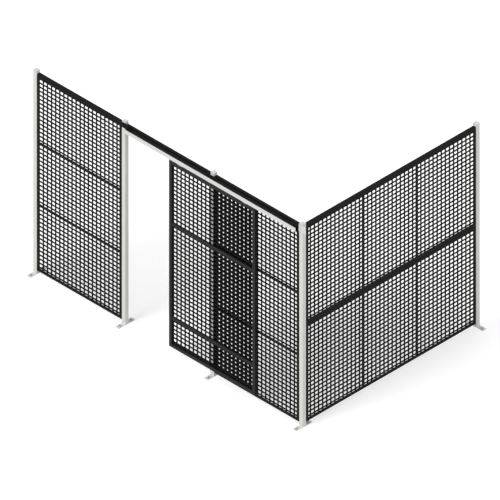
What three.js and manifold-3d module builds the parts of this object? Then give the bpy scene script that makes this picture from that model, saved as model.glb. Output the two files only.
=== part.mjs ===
// Wire mesh partition with a sliding door. A long wall has three bays between four square posts: a mesh
// panel, a doorway and a second mesh panel, which the door leaf slides in front of. A return wall at the
// corner has two wide mesh panels, one on the other, and a fifth post at its end.
//
// Millimetres, +Z up. The origin is the middle of the corner post's foot, on the floor. The long wall runs
// from the corner along -X, the return wall along +Y, and the door hangs on the long wall's -Y side.
import * as THREE from "three";
import { mergeVertices } from "three/addons/utils/BufferGeometryUtils.js";
import Module from "manifold-3d";

const wasm = await Module();
wasm.setup();

// ---- driving dimensions ----

const seat = 0.3; // gap left between two pieces that touch
const overrun = 1; // how far a cut runs past the face that it opens

// The walls
const bayPitch = 1270; // centre to centre of the long wall's posts
const returnPitch = 2489.2; // centre to centre of the corner post and the return wall's end post
const floorGap = 45; // under the panels
const wallHeight = 2438.4; // of the panels

// Posts: square steel tube with a welded foot plate and a pushed-in cap
const postSize = 50.8;
const postWall = 3;
const postRadius = 5;
const postRise = 30.6; // of the tube's upper end above the panels
const capThickness = 3;
const capBevel = 1;
const plugDepth = 20;
const plugWall = 2;
const plugGap = 0.5; // between the cap's plug and the tube's bore
const footLength = 228.6;
const footWidth = 50.8;
const footThickness = 6.35;
const anchorDiameter = 14;
const anchorInset = 30; // from the foot's end to the hole's centre

// Fixed panels: a welded frame of steel angle with the mesh sheet behind its face leg
const angleLeg = 40;
const angleThickness = 3;
const frameSetback = 6.4; // from the posts' outer face back to the frame's face
const stiffenerWidth = 38.1;
const nearStiffener = 825; // from the panel's lower or corner end to the bar's centre
const farStiffener = 845; // from its other end

// Mesh sheets: two layers of welded wire inside a border strip
const wireSize = 12;
const borderThickness = 4;
const columnPitch = 58.6;
const rowPitch = 50.8;
const firstRow = 38.1; // from a panel's lower edge to the middle of its lowest level wire

// Door leaf
const doorLap = 6; // over the jamb on each side when the door is shut
const doorBottom = 101.6;
const doorGap = 12; // between the door's top and the track
const doorDepth = 34;
const doorFace = 38.1; // face width of the frame's tube
const doorWall = 2.5;
const railWidth = 38.1;
const railThickness = 6;
const doorFirstRow = 70.1; // from the leaf's bottom to the middle of its lowest level wire
const lowerRail = 358.8; // from the leaf's bottom to the rail's centre
const upperRail = 1527.2;
const doorOpening = 670.6; // how far the door stands open

// Door track: a box section with a slot along its underside
const trackStart = 67; // from the jamb post's centre to the track's left end
const trackEnd = 36; // from the track's right end to the corner post's centre
const trackDrop = 63.4; // from the panels' top down to the track's underside
const trackHeight = 60;
const trackDepth = 36;
const trackWall = 2.5;
const trackSlot = 11;
const coverThickness = 2;
const coverLip = 8;
const coverDrop = 12; // from the track's top down to the cover's
const bracketThickness = 3;
const bracketLength = 150;
const bracketDrop = 38; // the jamb bracket's height under the track's top
const bracketRise = 28; // and above it
const bracketReach = 27; // of a bracket's flange over the track
const coverPlateLength = 101.6;
const stopLength = 28;

// Hangers and wheels
const hangerInset = 150; // from the leaf's edge to the hanger's centre
const hangerWidth = 60; // of the foot
const hangerNeck = 44; // of the plate where it leaves the foot
const hangerThickness = 6;
const hangerFoot = 5; // thickness of the foot on the door's top rail
const hangerRim = 4; // metal of the plate's head round the boss
const bossDiameter = 16;
const wheelDiameter = 40;
const wheelWidth = 8;
const wheelBevel = 1.5;
const wheelGap = 1; // between a wheel and the track's side wall
const axleDiameter = 10;
const boreGap = 0.3; // round the axle in its bores
const stopGap = 1; // between a wheel and the stop at the end of its run

// Floor guide: a plastic block on an arm, running in the groove of the door's bottom rail
const grooveWidth = 24;
const grooveDepth = 22;
const guideClearance = 2; // on each side of the block
const guideLength = 36;
const guideReach = 16; // how far the block stands up into the groove
const armThickness = 5;
const armDrop = 6; // from the door's bottom down to the arm
const armMargin = 2; // of the arm past each end of the block
const armTab = 50; // height of the tab that is bolted to the post
const armTabWidth = 38.1;
const openLap = 3; // the fully open door's bottom rail reaches this far past the arm

// Facets of the round pieces
const wheelSides = 16;
const axleSides = 12;
const arcSteps = 6; // on a hole or a rounded head

// ---- finishes ----

function finish(color, roughness, metalness) {
  return new THREE.MeshStandardMaterial({ color, roughness, metalness, flatShading: true });
}
const whitePaint = finish("#eeeeea", 0.5, 0);
const blackPaint = finish("#161616", 0.5, 0);
const charcoalPaint = finish("#3a3a3c", 0.5, 0);
const zincSteel = finish("#b4b7ba", 0.4, 0.9);
const blackPlastic = finish("#1e1e1e", 0.6, 0);
const whiteNylon = finish("#e6e2d6", 0.55, 0);
const blackRubber = finish("#202020", 0.85, 0);

// ---- shaping ----

// A box between a low and a high value on each axis.
function box([x0, x1], [y0, y1], [z0, z1]) {
  const shape = new THREE.BoxGeometry(x1 - x0, y1 - y0, z1 - z0);
  return shape.translate((x0 + x1) / 2, (y0 + y1) / 2, (z0 + z1) / 2);
}

// A closed geometry as a solid that can be joined and cut.
function solid(geometry) {
  const bare = geometry.clone();
  bare.deleteAttribute("normal");
  bare.deleteAttribute("uv");
  const merged = mergeVertices(bare);
  return new wasm.Manifold(
    new wasm.Mesh({
      numProp: 3,
      vertProperties: merged.attributes.position.array,
      triVerts: new Uint32Array(merged.index.array),
    }),
  );
}

// A joined or cut solid as a geometry.
function surface(made) {
  const { vertProperties, triVerts } = made.getMesh();
  const geometry = new THREE.BufferGeometry();
  geometry.setAttribute("position", new THREE.BufferAttribute(vertProperties, 3));
  geometry.setIndex(new THREE.BufferAttribute(triVerts, 1));
  geometry.computeVertexNormals();
  return geometry;
}

function join(pieces) {
  return pieces.map(solid).reduce((whole, piece) => whole.add(piece));
}

function cut(whole, pieces) {
  return pieces.map(solid).reduce((rest, piece) => rest.subtract(piece), whole);
}

// A square with rounded corners, as a shape or as the hole in one.
function roundedSquare(path, size, radius) {
  const centre = size / 2 - radius;
  const quarter = Math.PI / 2;
  path.absarc(centre, centre, radius, 0, quarter);
  path.absarc(-centre, centre, radius, quarter, 2 * quarter);
  path.absarc(-centre, -centre, radius, 2 * quarter, 3 * quarter);
  path.absarc(centre, -centre, radius, 3 * quarter, 4 * quarter);
  path.closePath();
  return path;
}

// A section drawn in Y and Z, run along X from x0 to x1.
function runAlongX(section, x0, x1) {
  const run = new THREE.ExtrudeGeometry(section, { depth: x1 - x0, bevelEnabled: false });
  const along = new THREE.Vector3(1, 0, 0);
  const across = new THREE.Vector3(0, 1, 0);
  const up = new THREE.Vector3(0, 0, 1);
  run.applyMatrix4(new THREE.Matrix4().makeBasis(across, up, along));
  return run.translate(x0, 0, 0);
}

function polygon(points) {
  return new THREE.Shape(points.map(([a, b]) => new THREE.Vector2(a, b)));
}

const partition = new THREE.Group();

function place(name, geometry, material, group = partition) {
  const piece = new THREE.Mesh(geometry, material);
  piece.name = name;
  group.add(piece);
  return piece;
}

// ---- posts, caps and feet ----

const wallTop = floorGap + wallHeight;
const postTop = wallTop + postRise;
const postFace = postSize / 2;
const boreSize = postSize - 2 * postWall;
const boreRadiusAtCorner = Math.max(postRadius - postWall, 0.5);

function postTube() {
  const section = roundedSquare(new THREE.Shape(), postSize, postRadius);
  section.holes.push(roundedSquare(new THREE.Path(), boreSize, boreRadiusAtCorner));
  const start = footThickness + seat;
  const options = { depth: postTop - start, bevelEnabled: false, curveSegments: 1 };
  return new THREE.ExtrudeGeometry(section, options).translate(0, 0, start);
}

// The cap's head lies on the tube's end and its hollow plug stands in the tube's bore.
function postCap() {
  const head = new THREE.ExtrudeGeometry(
    roundedSquare(new THREE.Shape(), postSize - 2 * capBevel, postRadius - capBevel),
    {
      depth: capThickness - 2 * capBevel,
      bevelThickness: capBevel,
      bevelSize: capBevel,
      bevelSegments: 1,
      curveSegments: 1,
    },
  ).translate(0, 0, postTop + seat + capBevel);
  const plugSize = boreSize - 2 * plugGap;
  const hollowHalf = plugSize / 2 - plugWall;
  const plug = new THREE.ExtrudeGeometry(
    roundedSquare(new THREE.Shape(), plugSize, boreRadiusAtCorner),
    { depth: plugDepth + seat + capThickness / 2, bevelEnabled: false, curveSegments: 1 },
  ).translate(0, 0, postTop - plugDepth);
  const hollow = box(
    [-hollowHalf, hollowHalf],
    [-hollowHalf, hollowHalf],
    [postTop - plugDepth - overrun, postTop - plugWall],
  );
  return surface(join([head, plug]).subtract(solid(hollow)));
}

function footPlate() {
  const plate = polygon([
    [-footWidth / 2, -footLength / 2],
    [footWidth / 2, -footLength / 2],
    [footWidth / 2, footLength / 2],
    [-footWidth / 2, footLength / 2],
  ]);
  for (const side of [-1, 1]) {
    const hole = new THREE.Path();
    hole.absarc(0, side * (footLength / 2 - anchorInset), anchorDiameter / 2, 0, 2 * Math.PI);
    plate.holes.push(hole);
  }
  return new THREE.ExtrudeGeometry(plate, {
    depth: footThickness,
    bevelEnabled: false,
    curveSegments: arcSteps,
  });
}

const leftEndX = -3 * bayPitch;
const jambX = -2 * bayPitch;
const middleX = -bayPitch;

// Each foot lies across its own wall, so the return wall's is turned a quarter.
const posts = [
  ["left_end", leftEndX, 0, 0],
  ["jamb", jambX, 0, 0],
  ["middle", middleX, 0, 0],
  ["corner", 0, 0, 0],
  ["return_end", 0, returnPitch, Math.PI / 2],
];
for (const [name, x, y, turn] of posts) {
  const group = new THREE.Group();
  group.position.set(x, y, 0);
  group.rotation.z = turn;
  place(name + "_post", postTube(), whitePaint, group);
  place(name + "_cap", postCap(), whitePaint, group);
  place(name + "_foot", footPlate(), whitePaint, group);
  partition.add(group);
}

// ---- mesh sheets ----

const sheetDepth = 2 * wireSize + seat;
const frontLayer = [0, wireSize];
const backLayer = [wireSize + seat, sheetDepth];

// Where the wires of one direction lie, from the first one up: those that show in the frame's window.
function wirePlaces(first, pitch, window) {
  const reach = (window + wireSize) / 2;
  const places = [];
  for (let at = first; at < reach; at += pitch) {
    if (at > -reach) places.push(at);
  }
  return places;
}

// The uprights are spaced about the middle of a blank of this width.
function uprightPlaces(blankWidth, window) {
  const divisions = Math.floor(blankWidth / columnPitch);
  return wirePlaces((-divisions * columnPitch) / 2, columnPitch, window);
}

// A welded sheet, centred on its middle in X and Z, with its front at y = 0. The upright wires are one layer
// and the level wires the other, and each ends in the border strip.
function meshSheet(width, height, uprights, levels, [uprightLayer, levelLayer]) {
  const halfWidth = width / 2;
  const halfHeight = height / 2;
  const half = wireSize / 2;
  const border = borderThickness;
  const depth = [0, sheetDepth];
  const across = [-halfWidth, halfWidth];
  const upward = [-halfHeight, halfHeight];
  const strips = [
    box(across, depth, [-halfHeight, -halfHeight + border]),
    box(across, depth, [halfHeight - border, halfHeight]),
    box([-halfWidth, -halfWidth + border], depth, upward),
    box([halfWidth - border, halfWidth], depth, upward),
  ];
  const rootX = halfWidth - border / 2;
  const rootZ = halfHeight - border / 2;
  const upright = (x) => box([x - half, x + half], uprightLayer, [-rootZ, rootZ]);
  const level = (z) => box([-rootX, rootX], levelLayer, [z - half, z + half]);
  return surface(join([...strips, ...uprights.map(upright), ...levels.map(level)]));
}

// ---- fixed panels ----

const frameFront = -postFace + frameSetback;

// The angle frame of a panel, centred in X and Z, with its face leg's front at y = 0.
function angleFrame(width, height) {
  const frame = solid(
    box([-width / 2, width / 2], [0, angleLeg], [-height / 2, height / 2]),
  );
  const windowX = width / 2 - angleLeg;
  const windowZ = height / 2 - angleLeg;
  const innerX = width / 2 - angleThickness;
  const innerZ = height / 2 - angleThickness;
  return surface(
    cut(frame, [
      box([-windowX, windowX], [-overrun, angleThickness + overrun], [-windowZ, windowZ]),
      box([-innerX, innerX], [angleThickness, angleLeg + overrun], [-innerZ, innerZ]),
    ]),
  );
}

// A panel whose middle is at (along, height) on its wall. Its two stiffeners are flush with the frame's
// face leg, and lie across the panel's long way.
function panel(name, wall, along, middle, width, height) {
  const group = new THREE.Group();
  group.position.set(along, frameFront, middle);
  wall.add(group);
  place(name + "_frame", angleFrame(width, height), blackPaint, group);
  const rebate = 2 * (angleThickness + seat);
  const sheet = meshSheet(
    width - rebate,
    height - rebate,
    uprightPlaces(width, width - 2 * angleLeg),
    wirePlaces(firstRow - height / 2, rowPitch, height - 2 * angleLeg),
    [frontLayer, backLayer],
  );
  place(name + "_mesh", sheet, blackPaint, group).position.y = angleThickness + seat;
  const longWay = Math.max(width, height);
  const barHalf = Math.min(width, height) / 2 - angleLeg - seat;
  const across = [-barHalf, barHalf];
  const depth = [0, angleThickness];
  for (const [end, at] of [
    ["near", -longWay / 2 + nearStiffener],
    ["far", longWay / 2 - farStiffener],
  ]) {
    const band = [at - stiffenerWidth / 2, at + stiffenerWidth / 2];
    const bar = height > width ? box(across, depth, band) : box(band, depth, across);
    place(name + "_stiffener_" + end, bar, blackPaint, group);
  }
}

const bayClear = bayPitch - postSize;
const bayWidth = bayClear - 2 * seat;
const wallMiddle = floorGap + wallHeight / 2;
panel("left_bay", partition, -2.5 * bayPitch, wallMiddle, bayWidth, wallHeight);
panel("right_bay", partition, -0.5 * bayPitch, wallMiddle, bayWidth, wallHeight);

// The return wall is the same wall turned a quarter about the corner post.
const returnWall = new THREE.Group();
returnWall.rotation.z = Math.PI / 2;
partition.add(returnWall);
const returnWidth = returnPitch - postSize - 2 * seat;
const returnHeight = (wallHeight - seat) / 2;
const lowerMiddle = floorGap + returnHeight / 2;
const upperMiddle = floorGap + wallHeight - returnHeight / 2;
panel("return_lower", returnWall, returnPitch / 2, lowerMiddle, returnWidth, returnHeight);
panel("return_upper", returnWall, returnPitch / 2, upperMiddle, returnWidth, returnHeight);

// ---- header and door track ----

const bracketFront = -postFace - seat - bracketThickness;
const trackBack = bracketFront - seat;
const trackMiddle = trackBack - trackDepth / 2;
const trackFront = trackBack - trackDepth;
const trackBottom = wallTop - trackDrop;
const trackTop = trackBottom + trackHeight;
const trackLeft = jambX + trackStart;
const trackRight = -trackEnd;
const inline = [frameFront, frameFront + angleLeg];

// The tie closes the top of the doorway in the plane of the wall, flush with the panels' tops.
function headerTie() {
  const height = postSize;
  const half = bayWidth / 2;
  const tube = solid(box([-half, half], inline, [wallTop - height, wallTop]));
  const bore = box(
    [-half - overrun, half + overrun],
    [inline[0] + postWall, inline[1] - postWall],
    [wallTop - height + postWall, wallTop - postWall],
  );
  return surface(tube.subtract(solid(bore)));
}
place("header_tie", headerTie(), blackPaint).position.x = (jambX + middleX) / 2;

function trackSection() {
  const out = trackDepth / 2;
  const inside = out - trackWall;
  const slot = trackSlot / 2;
  return polygon([
    [-slot, 0],
    [-slot, trackWall],
    [-inside, trackWall],
    [-inside, trackHeight - trackWall],
    [inside, trackHeight - trackWall],
    [inside, trackWall],
    [slot, trackWall],
    [slot, 0],
    [out, 0],
    [out, trackHeight],
    [-out, trackHeight],
    [-out, 0],
  ]);
}
place("door_track", runAlongX(trackSection(), trackLeft, trackRight), blackPaint).position.set(
  0,
  trackMiddle,
  trackBottom,
);

// The cover strip stands in front of the track, and its lip turns in under it.
function coverSection() {
  const back = trackFront - seat;
  const front = back - coverThickness;
  const under = trackBottom - seat;
  const upper = trackTop - coverDrop;
  return polygon([
    [front, under - coverThickness],
    [back + coverLip, under - coverThickness],
    [back + coverLip, under],
    [back, under],
    [back, upper],
    [front, upper],
  ]);
}
place("track_cover", runAlongX(coverSection(), trackLeft, trackRight), whitePaint);

// A bracket is a plate on the post's face behind the track, with a flange over the track's top.
function trackBracket([x0, x1], [flange0, flange1], [z0, z1]) {
  const plate = box([x0, x1], [bracketFront, bracketFront + bracketThickness], [z0, z1]);
  const over = box(
    [flange0, flange1],
    [trackBack - bracketReach, bracketFront + bracketThickness],
    [trackTop + seat, trackTop + seat + bracketThickness],
  );
  return surface(join([plate, over]));
}
const behindTrack = [trackTop - bracketDrop, trackTop + seat + bracketThickness];
const jambPlate = [jambX - postFace, jambX - postFace + bracketLength];
const middlePlate = [middleX - bracketLength / 2, middleX + bracketLength / 2];
const cornerPlate = [postFace - bracketLength, postFace];
place(
  "track_bracket_jamb",
  trackBracket(jambPlate, [trackLeft, jambPlate[1]], [behindTrack[0], trackTop + bracketRise]),
  blackPaint,
);
place("track_bracket_middle", trackBracket(middlePlate, middlePlate, behindTrack), blackPaint);
place(
  "track_bracket_corner",
  trackBracket(cornerPlate, [cornerPlate[0], trackRight], behindTrack),
  blackPaint,
);

// The pale plate closes the header's end at the corner post.
const coverPlateFront = bracketFront - seat - bracketThickness;
place(
  "corner_cover_plate",
  box(
    [-postFace, -postFace + coverPlateLength],
    [coverPlateFront, coverPlateFront + bracketThickness],
    [trackBottom, trackTop + bracketRise],
  ),
  whitePaint,
);

// ---- door leaf ----

const doorWidth = bayClear + 2 * doorLap;
const doorTop = trackBottom - doorGap;
const doorHeight = doorTop - doorBottom;
const shutX = (jambX + middleX) / 2; // the leaf's middle when it is shut
const doorMiddle = (doorTop + doorBottom) / 2;
const door = new THREE.Group();
door.position.set(shutX + doorOpening, trackMiddle, 0);
partition.add(door);

// The frame is welded square tube. Its bottom rail is open below for the floor guide.
function doorFrame() {
  const halfX = doorWidth / 2;
  const halfY = doorDepth / 2;
  const ring = (inset, face, depth) => {
    const outer = solid(
      box([inset - halfX, halfX - inset], [-depth, depth], [doorBottom + inset, doorTop - inset]),
    );
    const window = box(
      [face - halfX, halfX - face],
      [-depth - overrun, depth + overrun],
      [doorBottom + face, doorTop - face],
    );
    return outer.subtract(solid(window));
  };
  const tube = ring(0, doorFace, halfY);
  const hollow = ring(doorWall, doorFace - doorWall, halfY - doorWall);
  const groove = box(
    [-halfX - overrun, halfX + overrun],
    [-grooveWidth / 2, grooveWidth / 2],
    [doorBottom - overrun, doorBottom + grooveDepth],
  );
  return surface(tube.subtract(hollow).subtract(solid(groove)));
}
place("door_frame", doorFrame(), charcoalPaint, door);

// The leaf's sheet lies flush with the back of its frame, with its level wires in front, and has the columns
// of a bay's sheet.
const doorSheet = meshSheet(
  doorWidth - 2 * (doorFace + seat),
  doorHeight - 2 * (doorFace + seat),
  uprightPlaces(bayWidth, doorWidth - 2 * doorFace),
  wirePlaces(doorFirstRow - doorHeight / 2, rowPitch, doorHeight - 2 * doorFace),
  [backLayer, frontLayer],
);
const sheetFront = doorDepth / 2 - sheetDepth;
place("door_mesh", doorSheet, blackPaint, door).position.set(0, sheetFront, doorMiddle);

// The cross rails lie on the front of the mesh, between the stiles.
const railBack = sheetFront - seat;
for (const [name, height] of [
  ["door_rail_lower", lowerRail],
  ["door_rail_upper", upperRail],
]) {
  const half = doorWidth / 2 - doorFace - seat;
  const middle = doorBottom + height;
  const rail = box(
    [-half, half],
    [railBack - railThickness, railBack],
    [middle - railWidth / 2, middle + railWidth / 2],
  );
  place(name, rail, charcoalPaint, door);
}

// ---- hangers, axles and wheels ----

const wheelRadius = wheelDiameter / 2;
const axleHeight = trackBottom + trackWall + seat + wheelRadius;
const boreRadius = axleDiameter / 2 + boreGap;
const wheelOuter = trackDepth / 2 - trackWall - wheelGap;
const wheelInner = wheelOuter - wheelWidth;

// A plate with a round head rises through the track's slot from its foot on the door's top rail.
function hanger() {
  const footTop = doorTop + seat + hangerFoot;
  const root = footTop - hangerFoot / 2;
  const headRadius = bossDiameter / 2 + hangerRim;
  const lean = Math.atan2(hangerNeck / 2 - headRadius, axleHeight - root);
  const outline = new THREE.Shape();
  outline.moveTo(-hangerNeck / 2, root);
  outline.lineTo(hangerNeck / 2, root);
  outline.absarc(0, axleHeight, headRadius, lean, Math.PI - lean);
  outline.closePath();
  const hole = new THREE.Path();
  hole.absarc(0, axleHeight, boreRadius, 0, 2 * Math.PI);
  outline.holes.push(hole);
  const plate = new THREE.ExtrudeGeometry(outline, {
    depth: hangerThickness,
    bevelEnabled: false,
    curveSegments: arcSteps,
  })
    .rotateX(Math.PI / 2)
    .translate(0, hangerThickness / 2, 0);
  const foot = box(
    [-hangerWidth / 2, hangerWidth / 2],
    [-doorDepth / 2, doorDepth / 2],
    [doorTop + seat, footTop],
  );
  const bossLength = 2 * (wheelInner - seat);
  const bossRadius = bossDiameter / 2;
  const boss = new THREE.CylinderGeometry(bossRadius, bossRadius, bossLength, wheelSides);
  const through = bossLength + 2 * overrun;
  const bore = new THREE.CylinderGeometry(boreRadius, boreRadius, through, axleSides);
  boss.translate(0, 0, axleHeight);
  bore.translate(0, 0, axleHeight);
  return surface(join([plate, foot, boss]).subtract(solid(bore)));
}

// A wheel turned about Y: a flat tread between two bevels, round a plain bore.
function wheel() {
  const half = wheelWidth / 2;
  const points = [
    [boreRadius, -half],
    [wheelRadius - wheelBevel, -half],
    [wheelRadius, -half + wheelBevel],
    [wheelRadius, half - wheelBevel],
    [wheelRadius - wheelBevel, half],
    [boreRadius, half],
    [boreRadius, -half],
  ];
  return new THREE.LatheGeometry(points.map(([r, y]) => new THREE.Vector2(r, y)), wheelSides);
}

for (const [side, x] of [
  ["left", -doorWidth / 2 + hangerInset],
  ["right", doorWidth / 2 - hangerInset],
]) {
  const group = new THREE.Group();
  group.position.x = x;
  door.add(group);
  place("hanger_" + side, hanger(), zincSteel, group);
  const axleRadius = axleDiameter / 2;
  const axle = new THREE.CylinderGeometry(axleRadius, axleRadius, 2 * wheelOuter, axleSides);
  place("axle_" + side, axle, zincSteel, group).position.z = axleHeight;
  for (const [face, y] of [
    ["front", -(wheelInner + wheelOuter) / 2],
    ["back", (wheelInner + wheelOuter) / 2],
  ]) {
    place("wheel_" + side + "_" + face, wheel(), whiteNylon, group).position.set(0, y, axleHeight);
  }
}

// ---- floor guide and end stops ----

// The arm is bolted to the middle post's side and carries the block under the doorway's edge.
const armRight = middleX - postFace - seat;
const armLeft = armRight - armThickness - guideLength - 2 * armMargin;
const armTop = doorBottom - armDrop;
const guideHalf = grooveWidth / 2 - guideClearance;

function guideArm() {
  const deck = box(
    [armLeft, armRight],
    [trackMiddle - guideHalf, frameFront],
    [armTop - armThickness, armTop],
  );
  const tab = box(
    [armRight - armThickness, armRight],
    [-postFace, -postFace + armTabWidth],
    [armTop - armTab, armTop],
  );
  return surface(join([deck, tab]));
}
place("guide_arm", guideArm(), zincSteel);

const guideBlock = box(
  [armLeft + armMargin, armLeft + armMargin + guideLength],
  [trackMiddle - guideHalf, trackMiddle + guideHalf],
  [armTop + seat, doorBottom + guideReach],
);
place("guide_block", guideBlock, blackPlastic);

// The stops stand in the track where the wheels end their run: the door shut on the left, and on the right
// open as far as its bottom rail still holds the guide block.
const openX = armLeft - openLap + doorWidth / 2;
const stopHalf = trackDepth / 2 - trackWall - seat;
const runOut = doorWidth / 2 - hangerInset + wheelRadius + stopGap;
for (const [name, x0, x1] of [
  ["track_stop_shut", shutX - runOut - stopLength, shutX - runOut],
  ["track_stop_open", openX + runOut, openX + runOut + stopLength],
]) {
  const stop = box(
    [x0, x1],
    [trackMiddle - stopHalf, trackMiddle + stopHalf],
    [trackBottom + trackWall + seat, trackTop - trackWall - seat],
  );
  place(name, stop, blackRubber);
}

export default partition;
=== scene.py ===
"""A wire mesh partition with a sliding door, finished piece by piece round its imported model.

The long wall runs along X, with its face and the door on the -Y side. The return wall is the same
wall turned a quarter, with its face to +X. Sizes are in metres.
"""

import math

import bmesh
import bpy
from mathutils import Matrix, Vector


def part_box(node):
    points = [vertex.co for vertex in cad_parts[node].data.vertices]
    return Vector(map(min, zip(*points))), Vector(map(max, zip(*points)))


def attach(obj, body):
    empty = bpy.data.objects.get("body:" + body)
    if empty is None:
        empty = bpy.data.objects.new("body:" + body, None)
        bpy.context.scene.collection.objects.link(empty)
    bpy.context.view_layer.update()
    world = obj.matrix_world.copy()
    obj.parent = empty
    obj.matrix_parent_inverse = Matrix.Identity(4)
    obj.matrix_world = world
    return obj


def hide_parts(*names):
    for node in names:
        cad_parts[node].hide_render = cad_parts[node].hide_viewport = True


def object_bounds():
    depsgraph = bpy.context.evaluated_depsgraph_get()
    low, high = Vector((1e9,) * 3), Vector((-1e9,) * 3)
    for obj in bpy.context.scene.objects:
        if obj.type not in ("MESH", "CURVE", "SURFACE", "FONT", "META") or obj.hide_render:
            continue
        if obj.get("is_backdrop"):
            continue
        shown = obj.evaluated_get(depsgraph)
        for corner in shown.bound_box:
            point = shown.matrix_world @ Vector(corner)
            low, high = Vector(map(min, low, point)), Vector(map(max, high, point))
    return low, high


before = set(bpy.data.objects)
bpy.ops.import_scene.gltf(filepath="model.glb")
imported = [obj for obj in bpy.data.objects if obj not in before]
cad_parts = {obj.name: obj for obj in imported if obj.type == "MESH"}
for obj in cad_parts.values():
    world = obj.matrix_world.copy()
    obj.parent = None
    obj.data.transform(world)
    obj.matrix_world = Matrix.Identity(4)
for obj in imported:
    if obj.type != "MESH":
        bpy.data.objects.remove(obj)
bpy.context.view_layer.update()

# ---- feet ----
# Each post stands on a bar of flat hot-rolled steel laid across its wall and drilled near both
# ends for a floor anchor. Fillet welds join it to the post's front and back, and both are powder
# coated together.

POSTS = ("left_end", "jamb", "middle", "corner", "return_end")
ANCHOR_HOLE = 0.007
ANCHOR_INSET = 0.030
DRILL_LENGTH = 3  # times the plate's thickness
FOOT_EDGE = 0.0008
WELD_LEG = 0.005
WELD_ROUND = 0.0045
WELD_SINK = 0.0006
WELD_END = 0.001
POST_CORNER = 0.005
NEAR = 0.00001  # two places closer than this are one
STRAIGHT = 0.999  # of an edge's length, where the edge runs along an axis
SQUARE_ON = 0.99  # of a face's normal, where the face looks along an axis
SHARP = math.radians(30)  # faces that meet at more than this keep a crisp edge
QUARTER_TURN = Matrix.Rotation(math.pi / 2, 4, "Z")


def start_box(low, high):
    """A box between two corners, open for editing with all of it selected."""
    low, high = Vector(low), Vector(high)
    bpy.ops.object.select_all(action="DESELECT")
    bpy.ops.mesh.primitive_cube_add(size=1, location=(low + high) / 2, scale=high - low)
    bpy.ops.object.transform_apply()
    bpy.ops.object.mode_set(mode="EDIT")
    bpy.ops.mesh.select_all(action="SELECT")


def start_rod(middle, radius, length, axis="z", sides=32):
    """A round bar along y or z, open for editing with all of it selected."""
    turn = (math.pi / 2 if axis == "y" else 0, 0, 0)
    bpy.ops.object.select_all(action="DESELECT")
    bpy.ops.mesh.primitive_cylinder_add(
        vertices=sides, radius=radius, depth=length, location=middle, rotation=turn
    )
    bpy.ops.object.transform_apply()
    bpy.ops.object.mode_set(mode="EDIT")
    bpy.ops.mesh.select_all(action="SELECT")


def pick(kind, wanted):
    """Selects the edges or faces that the test wants, and nothing else."""
    bpy.ops.mesh.select_mode(type=kind)
    bpy.ops.mesh.select_all(action="DESELECT")
    shape = bmesh.from_edit_mesh(bpy.context.edit_object.data)
    shape.normal_update()
    for part in shape.edges if kind == "EDGE" else shape.faces:
        if wanted(part):
            part.select_set(True)
    shape.select_flush_mode()
    bmesh.update_edit_mesh(bpy.context.edit_object.data)


def runs(edge, axis):
    """Whether an edge runs along x, y or z."""
    span = edge.verts[1].co - edge.verts[0].co
    return abs(span["xyz".index(axis)]) > STRAIGHT * span.length


def at(part, axis, value):
    """Whether every corner of an edge or a face lies at this place on the axis."""
    return all(abs(corner.co["xyz".index(axis)] - value) < NEAR for corner in part.verts)


def extrude(x, y, z):
    """Pulls the selected faces or edges out along this way."""
    bpy.ops.mesh.extrude_region_move(TRANSFORM_OT_translate={"value": (x, y, z)})


def finished():
    """Leaves edit mode and hands the piece over."""
    if bpy.context.mode != "OBJECT":
        bpy.ops.object.mode_set(mode="OBJECT")
    return bpy.context.object


def modify(kind, **settings):
    """Puts a modifier on the piece in hand and applies it."""
    piece = finished()
    modifier = piece.modifiers.new(kind, kind)
    for name, value in settings.items():
        setattr(modifier, name, value)
    bpy.ops.object.modifier_apply(modifier=modifier.name)
    return piece


def combine(piece, tool, operation, solver="EXACT"):
    """Cuts a tool out of a piece, or joins both in one closed skin, and throws the tool away."""
    bpy.context.view_layer.objects.active = piece
    modify("BOOLEAN", object=tool, operation=operation, solver=solver)
    bpy.data.objects.remove(tool)


def gather(pieces):
    """Several pieces as one."""
    bpy.ops.object.select_all(action="DESELECT")
    for piece in pieces:
        piece.select_set(True)
    bpy.context.view_layer.objects.active = pieces[0]
    if len(pieces) > 1:
        bpy.ops.object.join()
    return pieces[0]


def copy_of(piece, spot):
    """A copy with its own mesh, moved and turned by a matrix."""
    copy = bpy.data.objects.new(piece.name, piece.data.copy())
    bpy.context.scene.collection.objects.link(copy)
    copy.data.transform(spot)
    return copy


def dress(piece, name, finish, body="wall", nodes=()):
    """Gives a piece its name and the material of its finish, and seats it on its body in place of
    its plain nodes. The finish also holds the slot that the material stands for, which is not used
    here. The weighted normals keep wide faces flat beside their rounded edges."""
    material, slot = finish
    piece.name = name
    piece.data.name = name
    piece.data.materials.clear()
    piece.data.materials.append(material)
    bpy.ops.object.select_all(action="DESELECT")
    piece.select_set(True)
    bpy.context.view_layer.objects.active = piece
    bpy.ops.object.shade_smooth_by_angle(angle=SHARP)
    modify("WEIGHTED_NORMAL", keep_sharp=True)
    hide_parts(*nodes)
    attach(piece, body)


def tint(code):
    """An sRGB hex colour as the linear colour that a shader works in, by the standard's curve."""
    channels = [int(code[i : i + 2], 16) / 255 for i in (1, 3, 5)]
    linear = [c / 12.92 if c <= 0.04045 else ((c + 0.055) / 1.055) ** 2.4 for c in channels]
    return (*linear, 1.0)


def add_node(tree, kind, settings, links=()):
    """A node with its fields and sockets set, and its inputs linked to what feeds them."""
    node = tree.nodes.new(kind)
    for name, value in settings.items():
        if isinstance(name, str) and hasattr(node, name):
            setattr(node, name, value)
        else:
            node.inputs[name].default_value = value
    for name, source in dict(links).items():
        tree.links.new(source, node.inputs[name])
    return node


def start_material(name):
    """A new material, its nodes, its shader, and the place that its patterns read."""
    material = bpy.data.materials.new(name)
    material.use_nodes = True
    tree = material.node_tree
    place = add_node(tree, "ShaderNodeTexCoord", {}).outputs["Object"]
    return material, tree, tree.nodes["Principled BSDF"], place


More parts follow.
